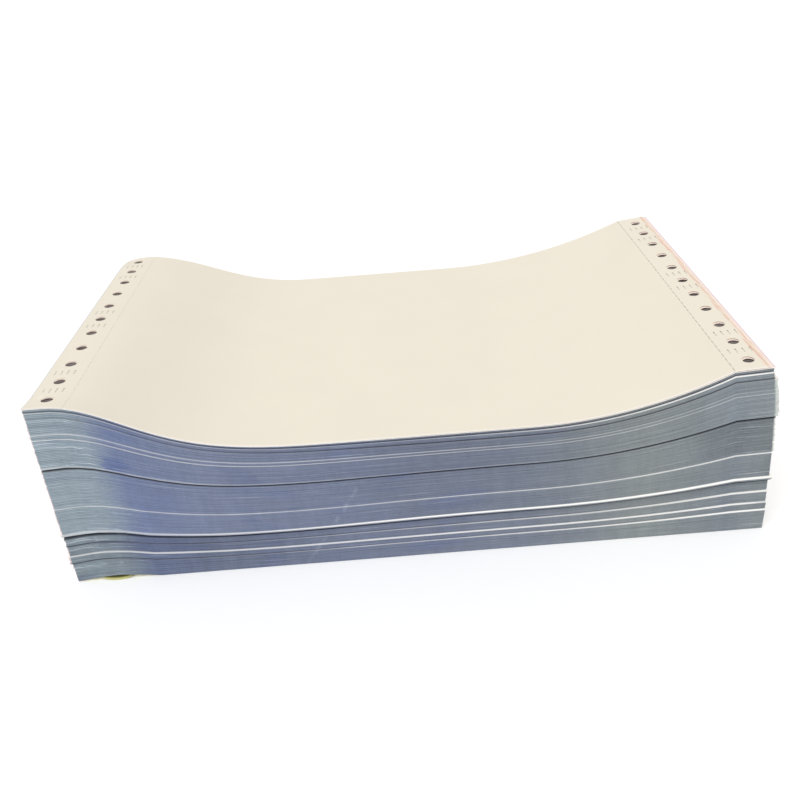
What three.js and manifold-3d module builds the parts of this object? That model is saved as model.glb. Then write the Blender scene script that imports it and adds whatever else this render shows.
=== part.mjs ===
// Fanfold continuous form paper: one web of carbonless form sets, folded zigzag into a stack.
// The plies are crimped together along both punched margins, so the margins are thicker than the
// middle and the stack sags between them. The folds show on the front and the back, the cut edges
// on the left and the right. Millimetres, +Z up, +X across the web, front folds towards -Y.
// The origin is the middle of the underside.
import * as THREE from "three";
import { mergeVertices } from "three/addons/utils/BufferGeometryUtils.js";
import Module from "manifold-3d";

// The web.
const formWidth = 241.3; // across the web, from cut edge to cut edge
const formDepth = 139.7; // from fold to fold
const stripWidth = 12.7; // punched strip outside the tear-off perforation
const holeDiameter = 3.96; // sprocket hole
const holePitch = 12.7;
const holeInset = 6.35; // from the cut edge to the hole's middle

// How the crimped margins stand above the pressed middle. Each front value has its back value,
// because the stack is a little twisted.
const leftRise = { front: 21.2, back: 17.9 };
const leftShoulder = { front: 6.5, back: 3.4 }; // flat stretch from the left cut edge
const leftRun = { front: 110, back: 81.5 }; // from the shoulder down to the pressed middle
const leftSteepness = { front: 2.14, back: 1.16 }; // how early the left slope falls
const rightRise = { front: 14.4, back: 16.4 };
const rightRun = { front: 66.3, back: 82 }; // from the pressed middle up to the right perforation
const rightStripSlope = { front: 0.05, back: 0.11 }; // the right strip still climbs outwards

// The lowest panels bow upwards beside the front left corner.
const bowHeight = 1.6;
const bowWidth = 29; // from the left cut edge
const bowDepth = 30; // how far it reaches back from the front folds

// The folds and the cut edges.
const foldRounding = 0.7; // depth of the groove between two folds
const cutEdgeGroove = 0.3; // depth of the line between two cut panels
const gapDepth = 3; // where two bundles part at the front and the back
const sideGapDepth = 1.1; // where two bundles part at the cut edges

// The stack has settled into bundles of panels. Their heights are measured where it is pressed
// flat. One fold stands proud of the front, and the ledge under it lies as far back.
const loosePanels = 2.5;
const upperBundle = 12.6;
const middleBundle = 11.1;
const lowerBundle = 7.9;
const proudFold = 1.0;
const ledgeBundle = 2.7;
const shiftedBundle = 5.7;
const baseBundle = 5.9;
const proudReach = 0.5;
const looseInset = 0.4; // how far the cut edges lie in from their sheets' nominal place
const slightInset = 0.2;
const steppedInset = 0.8;
const bulge = -0.55; // how far a cut edge stands out instead

// Bundles from the top down. folds counts the folds on the front, forward moves the bundle to the
// front, left and right draw its cut edges in, and gap parts it from the bundle below.
const bundles = [
  { height: loosePanels, folds: 1, forward: 0, left: 0, right: looseInset, gap: false },
  { height: upperBundle, folds: 6, forward: 0, left: slightInset, right: bulge, gap: true },
  { height: middleBundle, folds: 5, forward: 0, left: slightInset, right: 0, gap: false },
  { height: lowerBundle, folds: 4, forward: 0, left: slightInset, right: steppedInset, gap: false },
  { height: proudFold, folds: 1, forward: proudReach, left: 0, right: bulge, gap: true },
  { height: ledgeBundle, folds: 1, forward: -proudReach, left: slightInset, right: steppedInset, gap: false },
  { height: shiftedBundle, folds: 3, forward: 0, left: 0, right: looseInset, gap: true },
  { height: baseBundle, folds: 3, forward: 0, left: slightInset, right: steppedInset, gap: false },
];

// Facets.
const slopeReach = 92; // from either cut edge, the stretch with finer facets
const leftSteps = 5;
const middleSteps = 2;
const rightSteps = 6;
const depthSteps = 3;
const layingSteps = 400; // steps of the sum that lays a sheet along its curve
const holeSides = 12;
const slantSteps = 3; // straight stretches of a slanting hole
const holeOvershoot = 2; // how far the punch runs past the stack
const vertexSpacing = 1e-3;

const pressedHeight = bundles.reduce((sum, bundle) => sum + bundle.height, 0);

// Stations across the web: the cut edges, the bow's slope, middle and end, the right perforation,
// where the stack has a crease, and even steps between them.
function listStations() {
  const stations = [0, bowWidth / 4, bowWidth / 2, bowWidth];
  const rightSlope = formWidth - slopeReach;
  const perforation = formWidth - stripWidth;
  const stretches = [
    [slopeReach, leftSteps],
    [rightSlope, middleSteps],
    [perforation, rightSteps],
    [formWidth, 1],
  ];
  for (const [end, steps] of stretches) {
    const start = stations.at(-1);
    for (let i = 1; i <= steps; i++) stations.push(start + ((end - start) * i) / steps);
  }
  return stations;
}

const stations = listStations();
const widthSteps = stations.length - 1;

const clamp = (value) => Math.min(1, Math.max(0, value));
const between = (ends, back) => ends.front + (ends.back - ends.front) * back;

// Height of the top sheet at a distance along the web from its left cut edge. back runs from 0 at
// the front folds to 1 at the back folds.
function topHeight(along, back) {
  const fallen = clamp((along - between(leftShoulder, back)) / between(leftRun, back));
  const turn = 1 - (1 - fallen) ** between(leftSteepness, back);
  const left = (between(leftRise, back) * (1 + Math.cos(Math.PI * turn))) / 2;
  const toPerforation = formWidth - stripWidth - along;
  const climb = clamp(1 - toPerforation / between(rightRun, back));
  const strip = between(rightStripSlope, back) * Math.max(0, -toPerforation);
  return pressedHeight + left + between(rightRise, back) * climb ** 2 + strip;
}

// Height of the underside, which is flat apart from the bow.
function undersideHeight(along, back) {
  const across = clamp(along / bowWidth);
  const inwards = clamp(1 - (back * formDepth) / bowDepth);
  return bowHeight * Math.sin(Math.PI * across) * inwards ** 2;
}

// Every sheet between the underside and the top follows both in proportion to its level, which
// runs from 0 to 1.
function sheetHeight(level, along, back) {
  return undersideHeight(along, back) * (1 - level) + topHeight(along, back) * level;
}

// Place across the stack of a point on a sheet. All sheets have the same width and share their
// left cut edge, so a sheet that dips more ends further in on the right.
function placeAcross(level, along, back) {
  const step = along / layingSteps;
  let x = -formWidth / 2;
  for (let i = 0; i < layingSteps; i++) {
    const low = sheetHeight(level, i * step, back);
    const high = sheetHeight(level, (i + 1) * step, back);
    x += Math.sqrt(Math.max(0, step ** 2 - (high - low) ** 2));
  }
  return x;
}

// The horizontal rings that the outside runs through, from the underside up. Each panel gives
// two: the line below it and its own middle. A line between two panels is a fold's crest on one
// face and the groove between two folds on the other, turn and turn about.
function listRings() {
  const rings = [];
  const rounded = (share) => foldRounding * (1 - Math.sqrt(1 - share ** 2));
  let height = 0;
  for (const bundle of [...bundles].reverse()) {
    const panels = 2 * bundle.folds;
    const panelHeight = bundle.height / panels;
    for (let panel = 0; panel < panels; panel++) {
      const grooveInFront = panel % 2 === 0;
      const atGap = bundle.gap && panel === 0;
      rings.push({
        bundle,
        level: height / pressedHeight,
        front: atGap ? gapDepth : grooveInFront ? foldRounding : 0,
        back: atGap ? gapDepth : grooveInFront ? 0 : foldRounding,
        side: atGap ? sideGapDepth : cutEdgeGroove,
      });
      rings.push({
        bundle,
        level: (height + panelHeight / 2) / pressedHeight,
        front: rounded(0.5),
        back: rounded(0.5),
        side: 0,
      });
      height += panelHeight;
    }
  }
  rings.push({ bundle: bundles[0], level: 1, front: foldRounding, back: foldRounding, side: 0 });
  return rings;
}

// A point of the outside. Columns are the stations, and rows count from the front to the back.
function outsidePoint(ring, column, row) {
  const along = stations[column];
  const back = row / depthSteps;
  let x = placeAcross(ring.level, along, back);
  if (column === 0) x += ring.side + ring.bundle.left;
  if (column === widthSteps) x -= ring.side + ring.bundle.right;
  let y = formDepth * (back - 0.5) - ring.bundle.forward;
  if (row === 0) y += ring.front;
  if (row === depthSteps) y -= ring.back;
  return [x, y, sheetHeight(ring.level, along, back)];
}

// Columns and rows around the edge of the stack, anticlockwise from above.
function listRim() {
  const rim = [];
  for (let column = 0; column < widthSteps; column++) rim.push([column, 0]);
  for (let row = 0; row < depthSteps; row++) rim.push([widthSteps, row]);
  for (let column = widthSteps; column > 0; column--) rim.push([column, depthSteps]);
  for (let row = depthSteps; row > 0; row--) rim.push([0, row]);
  return rim;
}

function geometryOf(points, faces) {
  const geometry = new THREE.BufferGeometry();
  geometry.setAttribute("position", new THREE.Float32BufferAttribute(points.flat(), 3));
  geometry.setIndex(faces.flat());
  return mergeVertices(geometry, vertexSpacing);
}

// The folded stack before its holes are punched.
function makeStack() {
  const points = [];
  const faces = [];
  const rings = listRings();
  const rim = listRim();
  for (const ring of rings) {
    for (const [column, row] of rim) points.push(outsidePoint(ring, column, row));
  }
  for (let level = 0; level < rings.length - 1; level++) {
    for (let i = 0; i < rim.length; i++) {
      const next = (i + 1) % rim.length;
      const low = level * rim.length;
      const high = low + rim.length;
      faces.push([low + i, low + next, high + next]);
      faces.push([low + i, high + next, high + i]);
    }
  }
  for (const [ring, facesUp] of [[rings[0], false], [rings.at(-1), true]]) {
    const first = points.length;
    for (let row = 0; row <= depthSteps; row++) {
      for (let column = 0; column <= widthSteps; column++) {
        points.push(outsidePoint(ring, column, row));
      }
    }
    for (let row = 0; row < depthSteps; row++) {
      for (let column = 0; column < widthSteps; column++) {
        const a = first + row * (widthSteps + 1) + column;
        const b = a + 1;
        const c = b + widthSteps + 1;
        const d = c - 1;
        if (facesUp) faces.push([a, b, c], [a, c, d]);
        else faces.push([a, c, b], [a, d, c]);
      }
    }
  }
  return geometryOf(points, faces);
}

// The way a punched hole takes through all the sheets, in a number of straight stretches. It
// slants on the right, where each sheet's strip lies further in than the one below it.
function makeHole(along, back, stretches) {
  const points = [];
  const faces = [];
  const stops = [];
  for (let i = 0; i <= stretches; i++) {
    const level = Math.sqrt(i / stretches);
    stops.push([placeAcross(level, along, back), sheetHeight(level, along, back)]);
  }
  stops.at(0)[1] -= holeOvershoot;
  stops.at(-1)[1] += holeOvershoot;
  for (const [x, z] of stops) {
    for (let side = 0; side < holeSides; side++) {
      const angle = (2 * Math.PI * side) / holeSides;
      const reach = holeDiameter / 2;
      const y = formDepth * (back - 0.5);
      points.push([x + reach * Math.cos(angle), y + reach * Math.sin(angle), z]);
    }
  }
  for (let stop = 0; stop < stretches; stop++) {
    for (let side = 0; side < holeSides; side++) {
      const next = (side + 1) % holeSides;
      const low = stop * holeSides;
      const high = low + holeSides;
      faces.push([low + side, low + next, high + next]);
      faces.push([low + side, high + next, high + side]);
    }
  }
  const top = stretches * holeSides;
  for (let side = 1; side < holeSides - 1; side++) {
    faces.push([0, side + 1, side]);
    faces.push([top, top + side, top + side + 1]);
  }
  return geometryOf(points, faces);
}

// The holes on both strips, spaced evenly and centred between the folds.
function listHoles() {
  const count = Math.floor(formDepth / holePitch + vertexSpacing);
  const holes = [];
  for (let i = 0; i < count; i++) {
    const back = 0.5 + ((i - (count - 1) / 2) * holePitch) / formDepth;
    holes.push(makeHole(holeInset, back, 1));
    holes.push(makeHole(formWidth - holeInset, back, slantSteps));
  }
  return holes;
}

const wasm = await Module();
wasm.setup();

function toSolid(geometry) {
  const mesh = new wasm.Mesh({
    numProp: 3,
    vertProperties: new Float32Array(geometry.getAttribute("position").array),
    triVerts: new Uint32Array(geometry.index.array),
  });
  return new wasm.Manifold(mesh);
}

function toGeometry(solid) {
  const mesh = solid.getMesh();
  const geometry = new THREE.BufferGeometry();
  const positions = new THREE.Float32BufferAttribute(mesh.vertProperties, mesh.numProp);
  geometry.setAttribute("position", positions);
  geometry.setIndex(new THREE.Uint32BufferAttribute(mesh.triVerts, 1));
  geometry.computeVertexNormals();
  return geometry;
}

function makeFanfoldStack() {
  let solid = toSolid(makeStack());
  for (const hole of listHoles()) solid = solid.subtract(toSolid(hole));
  const paper = new THREE.MeshStandardMaterial({ color: 0xeee6d6, roughness: 0.85, metalness: 0 });
  const stack = new THREE.Mesh(toGeometry(solid), paper);
  stack.name = "fanfold_stack";
  return stack;
}

const group = new THREE.Group();
group.add(makeFanfoldStack());

export default group;
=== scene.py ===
# %% [markdown]
# # Fanfold continuous form paper
# One endless web of form sets, each a white, a pink and a yellow ply, is folded zigzag into a
# stack. The plies are crimped together along both punched margins, so the margins are thicker
# than the middle and the stack sags between them. The work goes in this order: the frame, the
# stack laid flat, its holes, how it settles, the loose top plies, the finishes and the studio.

import bpy
import numpy as np
from mathutils import Matrix, Vector


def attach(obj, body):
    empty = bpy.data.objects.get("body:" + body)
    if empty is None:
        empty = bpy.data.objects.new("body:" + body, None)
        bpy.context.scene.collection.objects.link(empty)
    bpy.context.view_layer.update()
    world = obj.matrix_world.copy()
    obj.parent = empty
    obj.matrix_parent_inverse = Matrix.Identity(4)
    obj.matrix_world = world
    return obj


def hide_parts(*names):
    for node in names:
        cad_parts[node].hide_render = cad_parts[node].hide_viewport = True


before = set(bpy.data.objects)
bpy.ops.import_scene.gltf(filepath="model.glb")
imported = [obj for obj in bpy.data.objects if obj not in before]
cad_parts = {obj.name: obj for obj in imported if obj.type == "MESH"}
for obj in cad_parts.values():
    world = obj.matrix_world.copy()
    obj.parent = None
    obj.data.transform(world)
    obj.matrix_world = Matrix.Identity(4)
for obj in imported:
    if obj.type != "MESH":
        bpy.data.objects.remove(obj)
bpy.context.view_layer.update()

# %% [markdown]
# ## Sizes of the web
# The form follows the standards for printer paper: the holes lie 12.7 mm apart, and the tear-off
# strips are as wide. Sizes are written in millimetres and turned into Blender's metres once.

# %% Sizes of the web
MM = 0.001
FORM_WIDTH = 241.3 * MM
FORM_DEPTH = 139.7 * MM
STRIP_WIDTH = 12.7 * MM
HOLE_RADIUS = 1.98 * MM
HOLE_PITCH = 12.7 * MM
HOLE_INSET = 6.35 * MM
HOLE_COUNT = 11
PRESSED_HEIGHT = 49.4 * MM
PLY = 0.08 * MM
LOOSE_GAP = 0.04 * MM  # air between two loose plies

STACK_TOP = PRESSED_HEIGHT - 2 * (PLY + LOOSE_GAP)
FOLDS = 120
FOLD_PITCH = STACK_TOP / FOLDS
print("fold pitch:", round(FOLD_PITCH / MM, 3), "mm")

# %% [markdown]
# ## How the stack settles
# A pile of crimped sheets is hard to simulate and easy to describe: every sheet keeps its width,
# and its height is a blend of the underside and the top sheet. So everything is modelled flat,
# punched flat as in the factory, and then each point is carried to its settled place by one
# function. Each pair of values holds for the front and the back, because the stack is twisted.

# %% Heights of the top and the underside
LEFT_RISE = (21.2 * MM, 17.9 * MM)
LEFT_SHOULDER = (6.5 * MM, 3.4 * MM)
LEFT_RUN = (110 * MM, 81.5 * MM)
LEFT_STEEPNESS = (2.14, 1.16)
RIGHT_RISE = (14.4 * MM, 16.4 * MM)
RIGHT_RUN = (66.3 * MM, 82 * MM)
RIGHT_STRIP_SLOPE = (0.05, 0.11)
BOW_HEIGHT = 1.6 * MM
BOW_WIDTH = 29 * MM
BOW_DEPTH = 30 * MM


def between(ends, share):
    return ends[0] + (ends[1] - ends[0]) * share


def fading(distance, reach, whole=0.0):
    """1 where it is whole, then falling to 0 over its reach."""
    return np.clip(1 - (distance - whole) / reach, 0, 1)


def top_height(along, back):
    """Height of the top sheet. back runs from 0 at the front folds to 1 at the back folds."""
    fallen = np.clip((along - between(LEFT_SHOULDER, back)) / between(LEFT_RUN, back), 0, 1)
    turn = 1 - (1 - fallen) ** between(LEFT_STEEPNESS, back)
    left = between(LEFT_RISE, back) * (1 + np.cos(np.pi * turn)) / 2
    beyond = along - (FORM_WIDTH - STRIP_WIDTH)
    climb = np.clip(1 + beyond / between(RIGHT_RUN, back), 0, 1)
    strip = between(RIGHT_STRIP_SLOPE, back) * np.maximum(0, beyond)
    return PRESSED_HEIGHT + left + between(RIGHT_RISE, back) * climb**2 + strip


def underside_height(along, back):
    across = np.clip(along / BOW_WIDTH, 0, 1)
    inwards = fading(back * FORM_DEPTH, BOW_DEPTH)
    return BOW_HEIGHT * np.sin(np.pi * across) * inwards**2


print("highest point:", round(float(top_height(0.0, 0.0)) / MM, 1), "mm")

# %% Draw every sheet in by what its slopes take up
SLOPE_STEPS = 400
BACK_STEPS = 8
SLOPE_STEP = FORM_WIDTH / SLOPE_STEPS


def slope_sums(power):
    """Running sums of the top sheet's slope to a power, by rows from front to back."""
    along = np.linspace(0, FORM_WIDTH, SLOPE_STEPS + 1)
    rows = []
    for back in np.linspace(0, 1, BACK_STEPS + 1):
        slope = np.diff(top_height(along, back)) / SLOPE_STEP
        rows.append(np.concatenate([[0], np.cumsum(slope**power * SLOPE_STEP)]))
    return np.array(rows)


def look_up(table, along, back):
    column = np.clip(along / SLOPE_STEP, 0, SLOPE_STEPS - 1e-6)
    row = np.clip(back * BACK_STEPS, 0, BACK_STEPS - 1e-6)
    c, r = column.astype(int), row.astype(int)
    near = between((table[r, c], table[r, c + 1]), column - c)
    far = between((table[r + 1, c], table[r + 1, c + 1]), column - c)
    return between((near, far), row - r)


SQUARES = slope_sums(2)
FOURTHS = slope_sums(4)
print("the top sheet is drawn in by about", round(SQUARES[0, -1] / 2 / MM, 1), "mm in front")

# %% Carry flat places to where they lie
CURL_DROP = 1.6 * MM  # the outer back left corner of the top sheets is bent down
CURL_REACH = 15 * MM
CURL_FADE = 12  # how fast the bend fades from sheet to sheet
LEFT_SLIDE = 0.7 * MM  # the upper sheets have slid to the right at the left margin
LEFT_SLIDE_REACH = 110 * MM
HOLLOW_DROP = 0.9 * MM  # the left strip sinks a little behind its front edge
HOLLOW_WIDTH = 34 * MM
HOLLOW_START = 9 * MM
HOLLOW_FADE = 8


def settle(flat):
    """Carries flat places to where they lie in the settled stack."""
    along = np.clip(flat[:, 0] + FORM_WIDTH / 2, 0, FORM_WIDTH)
    back = np.clip(flat[:, 1] / FORM_DEPTH + 0.5, 0, 1)
    level = np.clip(flat[:, 2] / PRESSED_HEIGHT, 0, 1)
    spare = flat[:, 2] - level * PRESSED_HEIGHT
    taken = look_up(SQUARES, along, back) * level**2 / 2
    taken += look_up(FOURTHS, along, back) * level**4 / 8
    height = underside_height(along, back) * (1 - level) + top_height(along, back) * level
    near_corner = fading(np.hypot(along, (1 - back) * FORM_DEPTH), CURL_REACH)
    height = height + spare - CURL_DROP * near_corner**2 * level**CURL_FADE
    on_strip = fading(along, HOLLOW_WIDTH) * np.clip(back * FORM_DEPTH / HOLLOW_START, 0, 1)
    height = height - HOLLOW_DROP * on_strip * level**HOLLOW_FADE
    slide = LEFT_SLIDE * level**2 * fading(along, LEFT_SLIDE_REACH)
    return np.column_stack([flat[:, 0] - taken + slide, flat[:, 1], height])


corner = settle(np.array([[FORM_WIDTH / 2, -FORM_DEPTH / 2, PRESSED_HEIGHT]]))[0]
print("top right front corner:", np.round(corner / MM, 1), "mm")

# %% [markdown]
# ## Handling pieces
# A few helpers do what a hand does in the viewport: pick one piece, step into edit mode and out
# of it, and read or set the places of all the points at once.

# %% Helpers for pieces


def take(*pieces):
    """Selects only these pieces and makes the first one active."""
    bpy.ops.object.select_all(action="DESELECT")
    for piece in pieces:
        piece.select_set(True)
    bpy.context.view_layer.objects.active = pieces[0]


def edit(piece):
    take(piece)
    bpy.ops.object.mode_set(mode="EDIT")
    bpy.ops.mesh.select_all(action="SELECT")


def leave():
    bpy.ops.object.mode_set(mode="OBJECT")


def name_new(name):
    piece = bpy.context.object
    piece.name = name
    piece.data.name = name
    return piece


def points_of(piece):
    places = np.empty(len(piece.data.vertices) * 3)
    piece.data.vertices.foreach_get("co", places)
    return places.reshape(-1, 3)


def place_points(piece, places):
    piece.data.vertices.foreach_set("co", np.asarray(places, np.float32).ravel())
    piece.data.update()


def lay_grid(name, cells_across, cells_deep, height):
    """A flat sheet of cells, the size of the form, at a height."""
    bpy.ops.object.select_all(action="DESELECT")
    bpy.ops.mesh.primitive_grid_add(
        x_subdivisions=cells_across, y_subdivisions=cells_deep, size=1
    )
    grid = name_new(name)
    edit(grid)
    bpy.ops.transform.resize(value=(FORM_WIDTH, FORM_DEPTH, 1))
    bpy.ops.transform.translate(value=(0, 0, height))
    leave()
    return grid


def apply_modifier(piece, kind, **settings):
    take(piece)
    modifier = piece.modifiers.new(kind.title(), kind)
    for key, value in settings.items():
        setattr(modifier, key, value)
    bpy.ops.object.modifier_apply(modifier=modifier.name)


def join_copies(name, tool, middles):
    """Copies a tool to every place, joins the copies and drops the first one."""
    copies = []
    for x, y in middles:
        copy = tool.copy()
        copy.data = tool.data.copy()
        copy.data.transform(Matrix.Translation((x, y, 0)))
        bpy.context.collection.objects.link(copy)
        copies.append(copy)
    bpy.data.objects.remove(tool)
    take(*copies)
    bpy.ops.object.join()
    return name_new(name)


def smooth(piece, degrees):
    """Shades a piece smooth, but for edges that bend by more than this."""
    take(piece)
    bpy.ops.object.shade_smooth_by_angle(angle=np.radians(degrees))


def count_triangles(piece):
    piece.data.calc_loop_triangles()
    return len(piece.data.loop_triangles)


print("helpers ready")

# %% [markdown]
# ## The folded web, laid flat
# The outside of the stack is a wall of folds. One fold is modelled once: the rim of a grid is
# taken off it and extruded upwards by four steps, from the groove below the fold over its nose
# to the groove above. An Array modifier repeats it 120 times, about as many folds as the real
# stack shows, and the grid itself closes the wall below and above.

# %% One fold and the wall of folds
CELLS_ACROSS = 57  # a multiple of 19, so that a column lies on each perforation
CELLS_DEEP = 8
STEPS_A_FOLD = 4

lid = lay_grid("lid", CELLS_ACROSS, CELLS_DEEP, 0)
edit(lid)
bpy.ops.mesh.region_to_loop()
bpy.ops.mesh.duplicate()
bpy.ops.mesh.separate(type="SELECTED")
leave()
stack = next(piece for piece in bpy.context.selected_objects if piece != lid)
stack.name = stack.data.name = "folded_stack"
edit(stack)
for step in range(STEPS_A_FOLD):
    bpy.ops.mesh.extrude_edges_move(
        TRANSFORM_OT_translate={"value": (0, 0, FOLD_PITCH / STEPS_A_FOLD)}
    )
leave()
print("one fold:", len(stack.data.polygons), "faces")
apply_modifier(
    stack,
    "ARRAY",
    count=FOLDS,
    use_relative_offset=False,
    use_constant_offset=True,
    constant_offset_displace=(0, 0, FOLD_PITCH),
    use_merge_vertices=True,
    merge_threshold=1e-6,
)
print("wall of folds:", len(stack.data.polygons), "faces")

# %% Close the wall with two lids
WELD = 1e-6

take(lid)
bpy.ops.object.duplicate()
upper_lid = bpy.context.object
edit(upper_lid)
bpy.ops.transform.translate(value=(0, 0, STACK_TOP))
leave()
take(stack, lid, upper_lid)
bpy.ops.object.join()
edit(stack)
bpy.ops.mesh.remove_doubles(threshold=WELD)
bpy.ops.mesh.normals_make_consistent(inside=False)
leave()
print("closed stack:", len(stack.data.polygons), "faces")

# %% [markdown]
# ## The sprocket holes
# The punch goes through a whole bundle of webs at once, so it is modelled as a tool: a circle
# extruded upwards in short stretches, copied to every place, and taken away from the flat stack
# by a boolean. The stretches let the walls follow the sheets when the stack settles.

# %% The punch
PUNCH_SIDES = 16
PUNCH_STRETCHES = 30
PUNCH_SPARE = 1 * MM

HOLE_ROWS = [(row - (HOLE_COUNT - 1) / 2) * HOLE_PITCH for row in range(HOLE_COUNT)]
STRIP_MIDDLES = (HOLE_INSET - FORM_WIDTH / 2, FORM_WIDTH / 2 - HOLE_INSET)


def make_punches(sides, bottom, heights):
    """A punch modelled once, one stretch upon the other, and copied to every hole."""
    bpy.ops.object.select_all(action="DESELECT")
    bpy.ops.mesh.primitive_circle_add(vertices=sides, radius=HOLE_RADIUS, fill_type="NGON")
    punch = name_new("punches")
    edit(punch)
    bpy.ops.transform.translate(value=(0, 0, bottom))
    for height in heights:
        bpy.ops.mesh.extrude_region_move(TRANSFORM_OT_translate={"value": (0, 0, height)})
    bpy.ops.mesh.select_all(action="SELECT")
    bpy.ops.mesh.normals_make_consistent(inside=False)
    leave()
    return join_copies("punches", punch, [(x, y) for x in STRIP_MIDDLES for y in HOLE_ROWS])


def cut(piece, tool):
    apply_modifier(piece, "BOOLEAN", operation="DIFFERENCE", solver="EXACT", object=tool)
    bpy.data.objects.remove(tool)


stretch = STACK_TOP / PUNCH_STRETCHES
end_stretch = PUNCH_SPARE + stretch / 2
inner_stretches = [stretch] * (PUNCH_STRETCHES - 1)
stretches = [end_stretch, *inner_stretches, end_stretch]
cut(stack, make_punches(PUNCH_SIDES, -PUNCH_SPARE, stretches))
print("punched stack:", count_triangles(stack), "triangles")

# %% [markdown]
# ## Parts of the surface
# Folds, cut edges, the underside and the walls of the holes are different finishes. While the
# stack is flat, each face tells by its place which one it has.

# %% Tell the faces apart
FOLD_FACES, CUT_EDGES, UNDERSIDE, TOP_FACE, HOLE_WALLS = range(5)
EDGE_REACH = 0.01 * MM


def sort_faces(piece):
    count = len(piece.data.polygons)
    centres = np.empty(count * 3)
    piece.data.polygons.foreach_get("center", centres)
    x, y, z = centres.reshape(-1, 3).T
    finish = np.full(count, HOLE_WALLS, np.int32)
    finish[np.abs(x) > FORM_WIDTH / 2 - EDGE_REACH] = CUT_EDGES
    finish[np.abs(y) > FORM_DEPTH / 2 - EDGE_REACH] = FOLD_FACES
    finish[z < EDGE_REACH] = UNDERSIDE
    finish[z > STACK_TOP - EDGE_REACH] = TOP_FACE
    return finish


finish_of_face = sort_faces(stack)
print("faces by finish:", np.bincount(finish_of_face))

# %% [markdown]
# ## Bundles and single folds
# The stack has slid into bundles: each stands a little forward or back, twisted against the next
# one, and where a bundle stands forward of the one above, the white paper of its top fold shows.
# The bundles are listed once, as they are measured. All else is a small seeded unevenness.

# %% The bundles
# Columns, all in millimetres but the last two: height where pressed; forward on the left and on
# the right; cut edges drawn in on the left and on the right; lift of the bundle's floor on the
# left and on the right; how white its top fold shows and how dark the painted shade line below
# it is, each on the left, in the middle and on the right. The bundles run from the top down.
BUNDLES = [
    (0.9, (0.0, 0.0), (0.3, 0.5), (0.0, -0.3), (0.0, 0.0, 0.0), (0.9, 1.0, 1.0)),
    (1.7, (-0.1, 0.1), (0.3, 0.2), (-0.2, -0.8), (0.3, 0.1, 1.0), (0.4, 1.0, 0.9)),
    (3.7, (-0.1, -0.1), (0.2, -0.7), (-0.4, 0.0), (0.1, 0.1, 0.2), (0.0, 0.1, 0.0)),
    (1.2, (0.0, 0.0), (0.2, -1.0), (-0.5, 0.3), (0.3, 0.4, 0.1), (0.2, 0.2, 0.0)),
    (7.6, (0.1, 0.1), (0.2, -1.1), (-0.9, 0.9), (0.35, 0.4, 0.2), (1.0, 1.0, 1.0)),
    (11.1, (0.0, 0.0), (0.2, -0.1), (-0.7, 1.4), (0.2, 0.0, 0.0), (0.1, 0.0, 0.0)),
    (8.1, (0.2, 0.3), (0.1, 0.6), (-0.6, 1.5), (0.35, 0.45, 0.7), (0.0, 0.0, 0.0)),
    (0.8, (0.3, 1.1), (-0.5, -0.2), (-0.6, 1.4), (0.3, 1.0, 1.0), (1.0, 1.0, 1.0)),
    (2.7, (0.1, -0.3), (0.4, 0.8), (-0.4, 0.7), (0.0, 0.0, 0.0), (0.9, 0.5, 0.0)),
    (3.2, (-0.2, 0.2), (0.2, 0.9), (-0.2, 0.4), (0.0, 0.4, 1.0), (0.1, 0.0, 0.0)),
    (2.5, (0.2, 0.6), (-0.3, 0.4), (-0.1, 0.6), (0.5, 0.75, 0.9), (1.0, 0.4, 0.0)),
    (5.9, (-0.1, 1.0), (0.3, 1.6), (0.0, 0.0), (0.0, 0.5, 1.0), (0.0, 0.0, 0.0)),
]
HEIGHT, FORWARD, DRAWN, LIFT, WHITE, SHADE = range(6)
TOP_LIFT = (0.0, -0.3)  # the web has sunk away from the loose top form on the right
# Painted shade line right below the loose top form, on the left, in the middle and on the right.
TOP_SHADE = (0.1, 0.2, 0.5)
WHITE_DROP = 0.5  # quarter folds by which a white line lies below the top of its bundle
SHADE_RISE = 2  # quarter folds by which a painted shade line lies above the floor of its bundle
LINE_WHOLE = 0.6  # quarter folds to either side over which such a line is whole
LEFT_LIFT_REACH = (75 * MM, 35 * MM)  # where the lift on the left begins, and where it is whole
RIGHT_LIFT_REACH = (50 * MM, 150 * MM)
GAPS = {4: 0.35 * MM, 7: 0.7 * MM}  # bundles that have come away from the one below, and the gap
GAP_LIGHT = 0.5  # the fold above a gap catches the light
LINE_REACH = 2  # quarter folds over which a white line or a painted shade line fades
GAP_DEPTH = 3 * MM
GAP_REACH = 14  # folds over which the gap's opening fades

heights = np.array([bundle[HEIGHT] for bundle in BUNDLES]) * MM
bundle_floors = STACK_TOP - np.cumsum(heights) * STACK_TOP / heights.sum()
fold_middles = (np.arange(FOLDS) + 0.5) * FOLD_PITCH
bundle_of_fold = np.searchsorted(-bundle_floors, -fold_middles)
folds_by_bundle = [np.flatnonzero(bundle_of_fold == number) for number in range(len(BUNDLES))]
top_folds = [folds.max() for folds in folds_by_bundle]
lowest_folds = [folds.min() for folds in folds_by_bundle]
print("folds in each bundle:", [len(folds) for folds in folds_by_bundle])

# %% Unevenness
GROOVE = 0.2 * MM
NOSE_SHOULDER = 0.05 * MM
CUT_GROOVE = 0.08 * MM
CORNER_ROUNDING = 0.35 * MM
CORNER_COLUMN = 0.7 * MM  # the outermost column of points is drawn this near to the cut edge
FOLD_SCATTER = 0.05 * MM
CUT_SCATTER = 0.12 * MM
CRIMPED_WHOLE = 10 * MM  # the left margin waves in full up to here
CRIMPED_REACH = 20 * MM  # and less and less over this width
WAVE_LENGTHS = (9 * MM, 23 * MM, 61 * MM)
WAVE_DEPTH = 0.04 * MM
CRIMPED_WAVE_DEPTH = 0.1 * MM  # what the crimps add

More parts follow.
